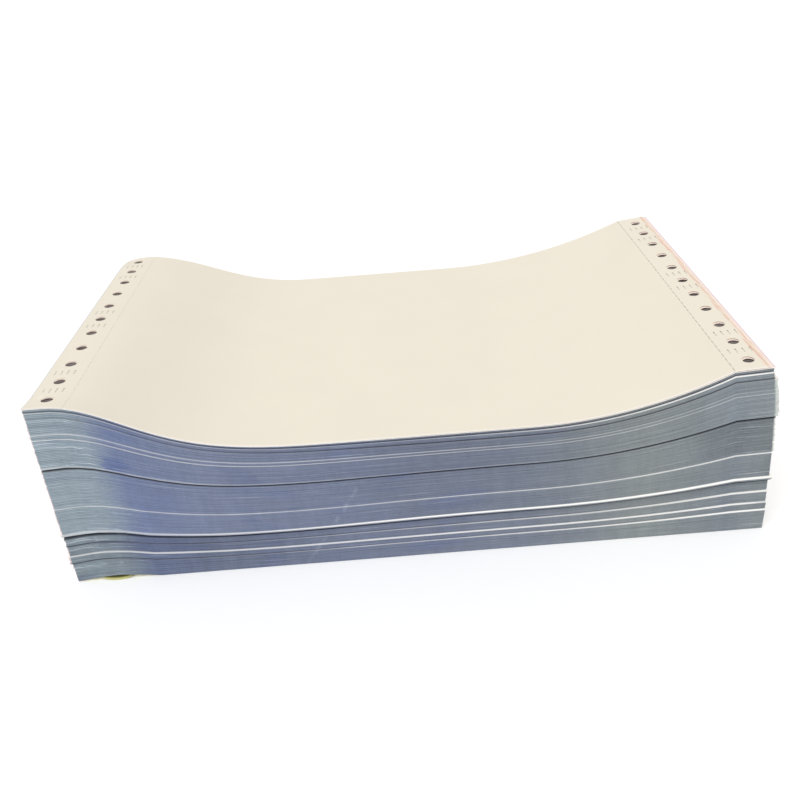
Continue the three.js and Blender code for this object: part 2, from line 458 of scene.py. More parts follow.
dice = np.random.default_rng(11)
fold_scatter = dice.normal(0, FOLD_SCATTER, FOLDS)
left_scatter = dice.normal(0, CUT_SCATTER, FOLDS)
right_scatter = dice.normal(0, CUT_SCATTER, FOLDS)
wave_phases = dice.uniform(0, 2 * np.pi, (len(WAVE_LENGTHS), FOLDS))


def waves(along, fold):
    """A gentle wave along each fold, between about -1 and 1."""
    total = np.zeros_like(along)
    for length, phases in zip(WAVE_LENGTHS, wave_phases):
        total += np.sin(2 * np.pi * along / length + phases[fold])
    return total / len(WAVE_LENGTHS)


def crimped(along):
    """1 on the left crimped margin, fading to 0 beside it."""
    return fading(along, CRIMPED_REACH, CRIMPED_WHOLE)


print("largest scatter:", round(float(np.abs(fold_scatter).max()) / MM, 2), "mm")

# %% Shape the folds


def pair_of(column, bundle, share):
    """A bundle's value between its left and its right one."""
    values = np.array([entry[column] for entry in BUNDLES])[bundle]
    return between((values[:, 0], values[:, 1]), share)


def triple_of(values, share):
    """A value that runs from the left through the middle to the right."""
    return np.interp(share, (0, 0.5, 1), values)


def ease(value, ends):
    """0 up to the first end, 1 from the second on, smooth between them."""
    part = np.clip((value - ends[0]) / (ends[1] - ends[0]), 0, 1)
    return part * part * (3 - 2 * part)


def line_at(step, place):
    """1 at one place up the stack, fading within a few quarter folds."""
    return fading(np.abs(step - place), LINE_REACH, LINE_WHOLE)


def lift_of(along, height):
    """How far a sheet lies above its even share of the height."""
    knots = np.concatenate([bundle_floors[::-1], [STACK_TOP]])
    lifts = np.array([entry[LIFT] for entry in BUNDLES[::-1]] + [TOP_LIFT]) * MM
    left = np.interp(height, knots, lifts[:, 0]) * ease(along, LEFT_LIFT_REACH)
    return left + np.interp(height, knots, lifts[:, 1]) * ease(along, RIGHT_LIFT_REACH)


def mark_lines(step, share):
    """White paper on top of each bundle, a painted highlight on the fold above a gap, and a painted
    shade line below each bundle and below the loose top form.
    """
    white = np.zeros_like(share)
    dark = line_at(step, FOLDS * STEPS_A_FOLD) * triple_of(TOP_SHADE, share)
    for number, bundle in enumerate(BUNDLES):
        top_step = (top_folds[number] + 1) * STEPS_A_FOLD
        low_step = lowest_folds[number] * STEPS_A_FOLD
        white += line_at(step, top_step - WHITE_DROP) * triple_of(bundle[WHITE], share)
        # Painted shade line below the bundle.
        above_floor = 0 if number in GAPS else SHADE_RISE
        dark += line_at(step, low_step + above_floor) * triple_of(bundle[SHADE], share)
        if number in GAPS:
            # Painted highlight on the fold above a gap, stronger on the left.
            white += line_at(step, low_step + STEPS_A_FOLD) * GAP_LIGHT * (1 - share)
    return white, dark


def shape_folds(flat):
    """Returns the flat places with grooves, bundles and gaps, how white each is, painted highlights
    included, and how dark its painted shade is.
    """
    x, y, z = flat.T.copy()
    half_width, half_depth = FORM_WIDTH / 2, FORM_DEPTH / 2
    along = x + half_width
    share = np.clip(along / FORM_WIDTH, 0, 1)
    step = np.rint(z / FOLD_PITCH * STEPS_A_FOLD).astype(int)
    phase = step % STEPS_A_FOLD
    fold = np.clip(step // STEPS_A_FOLD, 0, FOLDS - 1)
    lower_fold = np.clip((step - 1) // STEPS_A_FOLD, 0, FOLDS - 1)
    front = y < -half_depth + EDGE_REACH
    rear = y > half_depth - EDGE_REACH
    left = x < -half_width + EDGE_REACH
    right = x > half_width - EDGE_REACH

    # Each sheet slides as a whole, so its holes move with it.
    above = pair_of(FORWARD, bundle_of_fold[fold], share) * MM + fold_scatter[fold]
    below = pair_of(FORWARD, bundle_of_fold[lower_fold], share) * MM + fold_scatter[lower_fold]
    fade = np.clip((STACK_TOP - z) / (2 * FOLD_PITCH), 0, 1)
    forward = np.where(front, np.minimum(above, below), (above + below) / 2) * fade

    # The nose of a front fold lies half way up it, and that of a back fold between two of them.
    profile = np.array([GROOVE, NOSE_SHOULDER, 0, NOSE_SHOULDER])
    wave = waves(along, fold) * (WAVE_DEPTH + CRIMPED_WAVE_DEPTH * crimped(along))
    inwards = profile[phase] + np.where(phase > 0, wave, 0)
    y = y - forward + np.where(front, inwards, 0)
    y = y - np.where(rear, profile[(phase + 2) % STEPS_A_FOLD], 0)

    # Cut edges.
    drawn_left = pair_of(DRAWN, bundle_of_fold[fold], 0) * MM + left_scatter[fold]
    drawn_right = pair_of(DRAWN, bundle_of_fold[fold], 1) * MM + right_scatter[fold]
    line = np.where(phase % 2 == 0, CUT_GROOVE, 0)
    x = x + np.where(left, drawn_left + line, 0) - np.where(right, drawn_right + line, 0)
    corner = (front | rear) & (left | right)
    y = y + np.where(corner, np.where(front, CORNER_ROUNDING, -CORNER_ROUNDING), 0)
    column = FORM_WIDTH / CELLS_ACROSS
    first = np.abs(along - column) < EDGE_REACH
    last = np.abs(FORM_WIDTH - along - column) < EDGE_REACH
    shift = column - CORNER_COLUMN
    rim = (front | rear) & (z > EDGE_REACH) & (z < STACK_TOP - EDGE_REACH)
    x = x - np.where(first & rim, shift, 0) + np.where(last & rim, shift, 0)

    # Gaps between bundles.
    lift = lift_of(along, z)
    for number, gap in GAPS.items():
        lowest = lowest_folds[number]
        at_gap = step == lowest * STEPS_A_FOLD
        y = y + np.where(at_gap & front, GAP_DEPTH, 0) - np.where(at_gap & rear, GAP_DEPTH, 0)
        distance = step / STEPS_A_FOLD - lowest
        opening = fading(np.abs(distance), GAP_REACH) * np.sign(distance) * gap / 2
        lift += np.where(front | rear, opening, 0)

    white, dark = mark_lines(step, share)
    white = np.where(front, white, 0)
    dark = np.where(front | rear, dark, 0)
    return np.column_stack([x, y, z + lift]), white, dark


flat_places = points_of(stack)
shaped_places, whiteness_and_highlight, painted_shade_amount = shape_folds(flat_places)
place_points(stack, settle(shaped_places))
settled = points_of(stack) / MM
print("settled box:", np.round(settled.min(0), 1), np.round(settled.max(0), 1))

# %% Keep what the finishes need
FOLD_SMOOTHING = 70  # degrees


def remember(piece, name, kind, values):
    """Stores a value at every point, for the finishes to read."""
    attribute = piece.data.attributes.new(name, kind, "POINT")
    field = "vector" if kind == "FLOAT_VECTOR" else "value"
    attribute.data.foreach_set(field, np.asarray(values, np.float32).ravel())


remember(stack, "flat_place", "FLOAT_VECTOR", flat_places)
# White paper with painted highlights, and the painted shade lines, for the fold finish.
remember(stack, "white", "FLOAT", whiteness_and_highlight)
remember(stack, "dark", "FLOAT", painted_shade_amount)
smooth(stack, FOLD_SMOOTHING)
print("stored:", [attribute.name for attribute in stack.data.attributes][-3:])

# %% [markdown]
# ## The loose top plies
# The topmost form has come loose: its white ply ends unevenly short of the right edge, and the
# pink ply below shows there. Each ply is a grid with thickness, cut flat by three tools: round
# punches, a row of perforating blades and the crimping teeth.

# %% Tools for the plies
PERFORATION_PITCH = 3.1 * MM
SLIT_LENGTH = 2.2 * MM
SLIT_WIDTHS = (0.07 * MM, 0.14 * MM)  # on the left and on the right strip
CRIMP_LENGTH = 2.8 * MM
CRIMP_WIDTH = 0.42 * MM
CRIMP_FIRST = 3.0 * MM  # from the cut edge
CRIMP_PITCH = (2.15 * MM, 2.35 * MM)  # on the left and on the right strip
CRIMPED_GAPS = (1, 2, 5, 6, 9, 10)  # gaps between holes, counted from the back
CRIMPS_A_GAP = 4
TOOL_HEIGHT = 2 * MM


def make_box(name, size, middle):
    """A plain box-shaped blade."""
    bpy.ops.object.select_all(action="DESELECT")
    bpy.ops.mesh.primitive_cube_add(size=1)
    blade = name_new(name)
    edit(blade)
    bpy.ops.transform.resize(value=size)
    bpy.ops.transform.translate(value=middle)
    leave()
    return blade


def crimp_places():
    """Middles of all crimp marks on both strips."""
    places = []
    for gap in CRIMPED_GAPS:
        y = (HOLE_COUNT / 2 - gap) * HOLE_PITCH
        for number in range(CRIMPS_A_GAP):
            places.append((CRIMP_FIRST + number * CRIMP_PITCH[0] - FORM_WIDTH / 2, y))
            places.append((FORM_WIDTH / 2 - CRIMP_FIRST - number * CRIMP_PITCH[1], y))
    return places


def perforation_places(side):
    """Middles of the slits along one strip, at -1 the left and at 1 the right one."""
    count = int(FORM_DEPTH / PERFORATION_PITCH)
    rows = [(row - (count - 1) / 2) * PERFORATION_PITCH for row in range(count)]
    return [(side * (FORM_WIDTH / 2 - STRIP_WIDTH), y) for y in rows]


print("crimp marks:", len(crimp_places()), "slits:", 2 * len(perforation_places(1)))

# %% The two plies
PLY_CELLS_ACROSS = 114
PLY_CELLS_DEEP = 66
ROUND_SIDES = 32


def make_ply(name, height, cells_across, cells_deep):
    ply = lay_grid(name, cells_across, cells_deep, height)
    apply_modifier(ply, "SOLIDIFY", thickness=PLY, offset=1)
    cut(ply, make_punches(ROUND_SIDES, height - TOOL_HEIGHT, [2 * TOOL_HEIGHT]))
    return ply


pink_height = STACK_TOP + LOOSE_GAP
white_height = pink_height + PLY + LOOSE_GAP
second_ply = make_ply("second_ply", pink_height, PLY_CELLS_ACROSS // 2, PLY_CELLS_DEEP // 2)
top_ply = make_ply("top_ply", white_height, PLY_CELLS_ACROSS, PLY_CELLS_DEEP)
for side, width in zip((-1, 1), SLIT_WIDTHS):
    blade = make_box("blade", (width, SLIT_LENGTH, 2 * TOOL_HEIGHT), (0, 0, white_height))
    cut(top_ply, join_copies("blades", blade, perforation_places(side)))
tooth = make_box("tooth", (CRIMP_WIDTH, CRIMP_LENGTH, 2 * TOOL_HEIGHT), (0, 0, white_height))
cut(top_ply, join_copies("teeth", tooth, crimp_places()))
print("top ply:", count_triangles(top_ply), "second ply:", count_triangles(second_ply))

# %% Trim and settle the plies
EDGE_SHORT = (0.9 * MM, 1.5 * MM)  # how far the white ply ends short of the right edge
LEFT_SHORT = 0.3 * MM
FRONT_SHORT = 0.1 * MM
PLY_COLUMN = FORM_WIDTH / PLY_CELLS_ACROSS
SECOND_PLY_DROP = 0.12 * MM  # how far the pink ply has sunk below the white one on the right
STRIP_SHIFT = (0.45 * MM, 0.8 * MM)  # how far its strips lie forward, on the left and the right
SHIFT_WHOLE = 2.5 * MM
SHIFT_REACH = 2.5 * MM
PLY_SMOOTHING = 40  # degrees

edge_dice = np.random.default_rng(5)
edge_rows = np.linspace(-FORM_DEPTH / 2, FORM_DEPTH / 2, PLY_CELLS_DEEP + 1)
edge_short = edge_dice.uniform(*EDGE_SHORT, len(edge_rows))


def trim_ply(flat):
    """Draws the white ply's edges in: unevenly on the right, a little on the left and in front."""
    x, y, z = flat.T.copy()
    shortfall = np.interp(y, edge_rows, edge_short)
    reach = np.clip((x - FORM_WIDTH / 2 + PLY_COLUMN) / PLY_COLUMN, 0, 1)
    x = np.maximum(x - shortfall * reach, LEFT_SHORT - FORM_WIDTH / 2)
    y = np.maximum(y, -FORM_DEPTH / 2 + FRONT_SHORT)
    return np.column_stack([x, y, z])


def sink_ply(flat):
    """Lets the pink ply sink on the right, and shifts its holes against those of the white one."""
    sunk = SECOND_PLY_DROP * ease(flat[:, 0] + FORM_WIDTH / 2, RIGHT_LIFT_REACH)
    forward = np.zeros(len(flat))
    for middle, shift in zip(STRIP_MIDDLES, STRIP_SHIFT):
        near = fading(np.abs(flat[:, 0] - middle), SHIFT_REACH, SHIFT_WHOLE)
        forward += shift * near * (np.abs(flat[:, 1]) < FORM_DEPTH / 2 - EDGE_REACH)
    return flat - np.column_stack([0 * sunk, forward, sunk])


def settle_ply(ply, trim):
    edit(ply)
    bpy.ops.mesh.quads_convert_to_tris()
    leave()
    flat = points_of(ply)
    place_points(ply, settle(trim(flat)))
    remember(ply, "flat_place", "FLOAT_VECTOR", flat)
    smooth(ply, PLY_SMOOTHING)


settle_ply(top_ply, trim_ply)
settle_ply(second_ply, sink_ply)
print("top ply highest:", round(points_of(top_ply)[:, 2].max() / MM, 2), "mm")

# %% [markdown]
# ## The crimps
# Each crimp is a narrow tongue that the tool has pushed down through the plies to lock them
# together. One tongue is a thin bevelled strip that dips towards its ends. It is copied into
# each slot of the top ply.

# %% Crimp tongues
TONGUE_WIDTH = 0.36 * MM
TONGUE_LENGTH = 2.5 * MM
TONGUE_DIP = 0.12 * MM

tongue = make_box("tongue", (TONGUE_WIDTH, TONGUE_LENGTH, PLY), (0, 0, white_height))
edit(tongue)
bpy.ops.mesh.subdivide(number_cuts=3)
leave()
places = points_of(tongue)
places[:, 2] -= TONGUE_DIP * (places[:, 1] / (TONGUE_LENGTH / 2)) ** 2
place_points(tongue, places)
tongues = join_copies("crimp_tongues", tongue, crimp_places())
tongue_flat = points_of(tongues)
place_points(tongues, settle(tongue_flat))
remember(tongues, "flat_place", "FLOAT_VECTOR", tongue_flat)
print("tongues:", count_triangles(tongues), "triangles")

# %% [markdown]
# ## The drooping bottom ply
# Under the bow beside the front left corner the lowest, yellow ply has come away from the panels
# above it and lies on the table, so a yellow lens shows there.

# %% Bottom ply in the bow
LENS_START = 9.5 * MM
LENS_END = 19.5 * MM
LENS_DEPTH = 14 * MM
LENS_FORWARD = 0.5 * MM
LENS_CELLS = (26, 10)
FLOOR_GAP = 0.03 * MM

bpy.ops.object.select_all(action="DESELECT")
bpy.ops.mesh.primitive_grid_add(x_subdivisions=LENS_CELLS[0], y_subdivisions=LENS_CELLS[1], size=1)
bottom_ply = name_new("bottom_ply")
apply_modifier(bottom_ply, "SOLIDIFY", thickness=PLY, offset=1)
unit = points_of(bottom_ply)
across = unit[:, 0] + 0.5
inwards = unit[:, 1] + 0.5
thickness = np.where(unit[:, 2] > PLY / 2, PLY, 0)
lens_along = LENS_START + across * (LENS_END - LENS_START)
roof = underside_height(lens_along, inwards * LENS_DEPTH / FORM_DEPTH)
sag = np.sin(np.pi * across) ** 0.5
lens_height = np.maximum(FLOOR_GAP, (roof - PLY) * (1 - sag)) + thickness
front_edge = -FORM_DEPTH / 2 - LENS_FORWARD * np.sin(np.pi * across)
lens_y = front_edge + inwards * LENS_DEPTH
place_points(bottom_ply, np.column_stack([lens_along - FORM_WIDTH / 2, lens_y, lens_height]))
remember(bottom_ply, "flat_place", "FLOAT_VECTOR", points_of(bottom_ply))
smooth(bottom_ply, PLY_SMOOTHING)
print("bottom ply:", count_triangles(bottom_ply), "triangles")

# %% [markdown]
# ## Shader sums as Python expressions
# A finish is a formula of masks, noises and colours. The class below wraps one socket, so that a
# sum or a product of two of them adds the Math nodes by itself.

# %% Sockets that can be added and multiplied


class Value:
    """A socket of a finish. Arithmetic on it adds Math nodes."""

    def __init__(self, finish, socket):
        self.finish = finish
        self.socket = socket

    def __add__(self, other):
        return self.finish.math("ADD", self, other)

    __radd__ = __add__

    def __mul__(self, other):
        return self.finish.math("MULTIPLY", self, other)

    def __sub__(self, other):
        return self.finish.math("SUBTRACT", self, other)

    def __rsub__(self, other):
        return self.finish.math("SUBTRACT", other, self)

    def __truediv__(self, other):
        return self.finish.math("DIVIDE", self, other)


class Finish:
    """The nodes of one material."""

    def __init__(self, name, roughness):
        self.material = bpy.data.materials.new(name)
        self.material.use_nodes = True
        self.tree = self.material.node_tree
        self.shader = self.tree.nodes["Principled BSDF"]
        self.shader.inputs["Roughness"].default_value = roughness
        self.shader.inputs["Specular IOR Level"].default_value = 0.25

    def node(self, kind, settings, inputs, output=0):
        node = self.tree.nodes.new(kind)
        for key, value in settings.items():
            if key == "stops":
                self.set_stops(node.color_ramp, value)
            else:
                setattr(node, key, value)
        for key, value in inputs.items():
            self.plug(node.inputs[key], value)
        return Value(self, node.outputs[output])

    def plug(self, socket, value):
        if isinstance(value, Value):
            self.tree.links.new(value.socket, socket)
        elif socket.type == "VECTOR":
            socket.default_value = value[:3]
        else:
            socket.default_value = value

    def set_stops(self, ramp, stops):
        while len(ramp.elements) < len(stops):
            ramp.elements.new(1.0)
        for element, (position, colour) in zip(ramp.elements, stops):
            element.position = position
            element.color = colour

    def math(self, operation, *values):
        return self.node("ShaderNodeMath", {"operation": operation}, dict(enumerate(values)))

    def ramp(self, value, stops):
        return self.node("ShaderNodeValToRGB", {"stops": stops}, {0: value})

    def attribute(self, name, output):
        return self.node("ShaderNodeAttribute", {"attribute_name": name}, {}, output)

    def split(self, vector):
        return [self.node("ShaderNodeSeparateXYZ", {}, {0: vector}, axis) for axis in range(3)]

    def stretch(self, vector, scale):
        return self.node("ShaderNodeVectorMath", {"operation": "MULTIPLY"}, {0: vector, 1: scale})

    def noise(self, vector, detail=2.0, roughness=0.5):
        inputs = {"Vector": vector, "Scale": 1.0, "Detail": detail, "Roughness": roughness}
        return self.node("ShaderNodeTexNoise", {}, inputs)

    def step(self, value, low, high):
        """0 below low, 1 above high, smooth between them. It falls where low is above high."""
        settings = {"interpolation_type": "SMOOTHSTEP"}
        return self.node("ShaderNodeMapRange", settings, {0: value, 1: low, 2: high})

    def blend(self, share, first, second):
        settings = {"data_type": "RGBA"}
        return self.node("ShaderNodeMix", settings, {0: share, 6: first, 7: second}, 2)

    def lighten(self, colour, factor):
        """A colour times a number."""
        return self.node("ShaderNodeVectorMath", {"operation": "SCALE"}, {0: colour, 3: factor})

    def paint(self, colour):
        self.plug(self.shader.inputs["Base Color"], colour)

    def bump(self, height, distance):
        inputs = {"Height": height, "Distance": distance, "Strength": 1.0}
        normal = self.node("ShaderNodeBump", {}, inputs)
        self.plug(self.shader.inputs["Normal"], normal)


def tint(red, green, blue):
    """A colour as a screen shows it, 0 to 255, made linear."""
    channels = np.array([red, green, blue]) / 255
    linear = np.where(channels < 0.04045, channels / 12.92, ((channels + 0.055) / 1.055) ** 2.4)
    return (*linear.tolist(), 1.0)


print("a middle grey is", round(tint(128, 128, 128)[0], 3))

# %% [markdown]
# ## The folds' finish
# Folding presses the carbonless coating until it colours, so the noses of the folds are blue and
# grey, not white. The colour drifts across the width, runs in streaks along the folds, is mottled
# where the stack was handled, and turns white where a fold's upper side shows. Painted shade
# darkens the lines between bundles and, on the left, the bundles below the lip; the fold above a
# gap gets a painted highlight.

# %% Fold faces: the colour across the width
PAPER_WHITE = tint(246, 245, 242)
STREAK_DEPTH = 0.05 * MM

fold_faces = Finish("folded_edge", 0.8)
flat = fold_faces.attribute("flat_place", "Vector")
flat_x, flat_y, flat_z = fold_faces.split(flat)
share_across = (flat_x + FORM_WIDTH / 2) / FORM_WIDTH
drift = fold_faces.noise(fold_faces.stretch(flat, (14, 14, 60)), 3.0)
ragged = fold_faces.noise(fold_faces.stretch(flat, (60, 60, 2200)), 2.0)
across_and_drift = share_across + (drift - 0.5) * 0.05 + (ragged - 0.5) * 0.05
base = fold_faces.ramp(
    across_and_drift,
    [
        (0.0, tint(140, 152, 160)),
        (0.07, tint(135, 147, 157)),
        (0.11, tint(110, 121, 150)),
        (0.22, tint(117, 126, 148)),
        (0.42, tint(114, 122, 143)),
        (0.5, tint(112, 119, 137)),
        (0.65, tint(116, 123, 137)),
        (0.82, tint(131, 137, 138)),
        (0.95, tint(120, 127, 134)),
        (1.0, tint(128, 135, 137)),
    ],
)
print("colour across:", len(fold_faces.tree.nodes), "nodes")

# %% Fold faces: bundle tones, painted shade below the lip and the part that is rubbed blue
LIP_LEVEL = (0.29, 0.28)  # shares of the height between which the tone changes
GAP_LEVEL = (0.69, 0.7)

level = flat_z / STACK_TOP
on_front = fold_faces.step(flat_y, 0.0, -10 * MM)
above_gap = fold_faces.step(level, *GAP_LEVEL)
# Painted shade: on the left, the bundles below the lip are darkened as if in the lip's shadow.
shade_below_lip = fold_faces.step(level, *LIP_LEVEL) * fold_faces.step(share_across, 0.5, 0.2)
upper_right = above_gap * fold_faces.step(share_across, 0.88, 0.94)
middle_right = fold_faces.step(level, 0.45, 0.5) * (1 - above_gap)
middle_right = middle_right * fold_faces.step(share_across, 0.86, 0.94)
bundle_tone = 1.25 - shade_below_lip * 0.3 + upper_right * 0.16 - middle_right * 0.2
rubbed = fold_faces.step(across_and_drift, 0.082, 0.09)
rubbed = rubbed * fold_faces.step(across_and_drift, 0.12, 0.106)
rubbed = rubbed * above_gap * fold_faces.step(level, 0.81, 0.75) * on_front
base = fold_faces.blend(rubbed * 0.6, base, tint(89, 102, 147))
print("bundles added:", len(fold_faces.tree.nodes), "nodes")

# %% Fold faces: streaks, mottle and grain
RIPPLE_HEIGHT = 2.2 * MM

ripple = fold_faces.noise(fold_faces.stretch(flat, (150, 150, 90)), 1.0)
left_crimp = fold_faces.step(share_across, 0.14, 0.05)
crimp_share = left_crimp + fold_faces.step(share_across, 0.9, 0.97) * 0.4
rippled_z = flat_z + (ripple - 0.5) * crimp_share * RIPPLE_HEIGHT
line_place = fold_faces.node(
    "ShaderNodeCombineXYZ", {}, {0: flat_x * 30, 1: flat_y * 30, 2: rippled_z * 2700}
)
streaks = fold_faces.noise(line_place, 2.0, 0.6)
mottle = fold_faces.noise(fold_faces.stretch(flat, (260, 260, 60)), 3.0, 0.6)
patches = fold_faces.noise(fold_faces.stretch(flat, (45, 45, 140)), 2.0)
bluer = fold_faces.step(patches, 0.52, 0.72) * fold_faces.step(share_across, 0.8, 0.6) * 0.35
coloured = fold_faces.blend(bluer, base, tint(98, 110, 146))
grain = fold_faces.noise(fold_faces.stretch(flat, (1400, 1400, 500)), 2.0)
bright = bundle_tone + (streaks - 0.5) * (0.44 + crimp_share * 0.35)
bright = bright + (mottle - 0.5) * 0.34 + (grain - 0.5) * 0.2
coloured = fold_faces.lighten(coloured, bright)
light_lines = fold_faces.step(streaks, 0.6, 0.74) * (0.2 + crimp_share * 0.45)
coloured = fold_faces.blend(light_lines, coloured, tint(226, 232, 236))
print("streaks added:", len(fold_faces.tree.nodes), "nodes")

# %% Fold faces: the scuff, the outer edges, and the white lines and painted shade lines between bundles
SCUFF_SLOPE = 0.72
SCUFF_FOOT = -40 * MM

scuff_distance = fold_faces.math("ABSOLUTE", flat_x - (flat_z * SCUFF_SLOPE + SCUFF_FOOT))
scuff = fold_faces.step(scuff_distance, 1.2 * MM, 0.3 * MM) * fold_faces.step(mottle, 0.42, 0.6)
scuff = scuff * on_front * fold_faces.step(level, 0.7, 0.62) * 0.14
coloured = fold_faces.blend(scuff, coloured, tint(205, 210, 220))
# The outermost column of points has kept its flat place, so a share of 0.0175 lies at its 0.7 mm.
edge_left = fold_faces.step(share_across, 0.0185, 0.01) * 0.9
edge_right = fold_faces.step(share_across, 0.9828, 0.992) * 0.7
shown = fold_faces.blend(edge_left, coloured, tint(236, 214, 214))
shown = fold_faces.blend(edge_right, shown, tint(232, 236, 228))
white = fold_faces.math("MINIMUM", fold_faces.attribute("white", "Fac"), 1.0)
dark = fold_faces.math("MINIMUM", fold_faces.attribute("dark", "Fac"), 1.0)
# White paper of the top folds, and a painted highlight on the fold above each gap.
shown = fold_faces.blend(white, shown, PAPER_WHITE)
# Painted shade: the lines below bundles and below the loose top form are darkened almost to black.
shown = fold_faces.blend(dark * 0.88, shown, tint(34, 34, 48))
fold_faces.paint(shown)
fold_faces.bump(streaks, STREAK_DEPTH)
print("fold faces:", len(fold_faces.tree.nodes), "nodes")

# %% [markdown]
# ## The cut edges' finish
# The sides show the cut edges of all the plies: white, pink and yellow lines, finer than a hair.
# From a step away they blend to a warm white with faint streaks.

# %% Cut edges
cut_edges = Finish("cut_edge", 0.85)
flat = cut_edges.attribute("flat_place", "Vector")
flat_x, flat_y, flat_z = cut_edges.split(flat)
ply_count = cut_edges.math("FRACT", flat_z / (FOLD_PITCH / 2))
plies = cut_edges.ramp(
    ply_count,
    [
        (0.0, tint(249, 247, 244)),
        (0.4, tint(249, 247, 244)),
        (0.44, tint(246, 222, 220)),
        (0.7, tint(246, 222, 220)),
        (0.74, tint(243, 240, 216)),
        (1.0, tint(243, 240, 216)),
    ],
)
streaks = cut_edges.noise(cut_edges.stretch(flat, (25, 25, 2200)), 3.0)
cloud = cut_edges.noise(cut_edges.stretch(flat, (25, 25, 60)), 2.0)
grey = cut_edges.step(flat_x, 50 * MM, 100 * MM) * 0.25
toned = cut_edges.blend(grey, plies, tint(226, 232, 226))
toned = cut_edges.lighten(toned, 1.0 + (streaks - 0.5) * 0.35 + (cloud - 0.5) * 0.08)
cut_edges.paint(toned)
cut_edges.bump(streaks, STREAK_DEPTH)
print("cut edges:", len(cut_edges.tree.nodes), "nodes")

# %% [markdown]
# ## The plies' finishes
# All three papers share one recipe: a plain colour with a faint cloudiness from the pulp and a
# very fine tooth that shows only as softness. The white ply adds its own marks, and painted shade at
# its right edge and along the right perforation.

# %% White paper, its marks and its painted shade
SALMON_PINK_AND_SHADE = tint(232, 168, 140)
SALMON_SHADE_LINE = tint(222, 162, 142)
PAPER_ROUGHNESS = 0.75
TOOTH_DEPTH = 0.01 * MM


def make_paper(name, colour):
    """A plain paper with cloudiness and tooth. Returns the finish, its colour and its flat place."""
    paper = Finish(name, PAPER_ROUGHNESS)
    flat = paper.attribute("flat_place", "Vector")
    cloud = paper.noise(paper.stretch(flat, (40, 40, 40)), 3.0)
    tooth = paper.noise(paper.stretch(flat, (2500, 2500, 2500)), 2.0)
    clouded = paper.lighten(colour, 1 + (cloud - 0.5) * 0.05 + (tooth - 0.5) * 0.03)
    paper.bump(tooth, TOOTH_DEPTH)
    return paper, clouded, flat


white_paper, clouded, flat = make_paper("white_ply", tint(230, 222, 206))
flat_x, flat_y, flat_z = white_paper.split(flat)
from_right = FORM_WIDTH / 2 - flat_x
from_front = flat_y + FORM_DEPTH / 2
oblique = white_paper.noise(
    white_paper.node(
        "ShaderNodeCombineXYZ",
        {},
        {0: flat_x * 900 + flat_y * 250, 1: flat_y * 90, 2: 0.0},
    ),
    3.0,
    0.6,
)
# A salmon band near the right edge: partly the pink ply's colour showing, partly painted shade of
# the gaps between the plies.
pink_and_shade_band = white_paper.step(from_right, 3.6 * MM, 1.6 * MM) * white_paper.step(oblique, 0.4, 0.62)
painted = white_paper.blend(pink_and_shade_band * 0.35, clouded, SALMON_PINK_AND_SHADE)
# Oblique salmon strokes: painted shade lines between the plies at the right edge.
for strokes_a_metre, offset in ((45.0, 0.0), (31.0, 0.4)):
    stroke = white_paper.math("FRACT", flat_y * strokes_a_metre + oblique * 0.5 + offset)
    stray = white_paper.math("ABSOLUTE", from_right - 1.0 * MM - stroke * (1.7 * MM))
    line = white_paper.step(stray, 0.34 * MM, 0.1 * MM) * white_paper.step(oblique, 0.3, 0.5)
    painted = white_paper.blend(line * 0.6, painted, SALMON_SHADE_LINE)
strip_border = FORM_WIDTH / 2 - STRIP_WIDTH
perforation = white_paper.math("ABSOLUTE", white_paper.math("ABSOLUTE", flat_x) - strip_border)
# Painted shade in the right perforation's slits: a faint grey line along the strip's border.
slit_shade = white_paper.step(perforation, 0.25 * MM, 0.1 * MM) * white_paper.step(flat_x, 0.0, 10 * MM)
painted = white_paper.blend(slit_shade * 0.08, painted, tint(120, 116, 110))
front_rim = white_paper.step(from_front, 0.9 * MM, 0.4 * MM)
painted = white_paper.blend(front_rim * 0.45, painted, tint(250, 244, 242))
white_paper.paint(painted)
print("white paper:", len(white_paper.tree.nodes), "nodes")

# %% Pink and yellow papers
pink_paper, clouded, flat = make_paper("pink_ply", tint(240, 222, 212))
flat_x, flat_y, flat_z = pink_paper.split(flat)
right_rim = pink_paper.step(FORM_WIDTH / 2 - flat_x, 0.5 * MM, 0.3 * MM)
painted = pink_paper.blend(right_rim, clouded, tint(222, 200, 204))
left_rim = pink_paper.step(flat_x + FORM_WIDTH / 2, 0.5 * MM, 0.3 * MM)
painted = pink_paper.blend(left_rim, painted, tint(176, 180, 190))
front_rim = pink_paper.step(flat_y + FORM_DEPTH / 2, 0.4 * MM, 0.2 * MM)
painted = pink_paper.blend(front_rim, painted, PAPER_WHITE)
pink_paper.paint(painted)

yellow_paper, clouded, flat = make_paper("yellow_ply", tint(228, 224, 178))
yellow_paper.paint(clouded)

drooping_paper, clouded, flat = make_paper("drooping_ply", tint(208, 206, 144))
flat_x, flat_y, flat_z = drooping_paper.split(flat)
# Painted shade: the yellow ply turns dark olive deeper under the bow, where the stack above shades
# it.
shade_under_bow = drooping_paper.step(flat_y + FORM_DEPTH / 2, 0.0, 1.4 * MM)
painted = drooping_paper.blend(shade_under_bow, clouded, tint(104, 104, 72))
drooping_paper.paint(painted)
print("papers:", pink_paper.material.name, yellow_paper.material.name, drooping_paper.material.name)

# %% Hole walls
hole_walls = Finish("hole_wall", 0.9)
flat = hole_walls.attribute("flat_place", "Vector")
layers = hole_walls.noise(hole_walls.stretch(flat, (200, 200, 2600)), 2.0, 0.6)
walls = hole_walls.ramp(
    layers,
    [
        (0.3, tint(140, 132, 132)),
        (0.5, tint(196, 187, 183)),
        (0.7, tint(244, 238, 232)),
    ],
)
hole_walls.paint(walls)
print("hole walls ready")

# %% Crimp finish
crimp_paper, clouded, flat = make_paper("crimped_paper", tint(206, 206, 192))
crimp_paper.paint(clouded)
print("crimp finish ready")

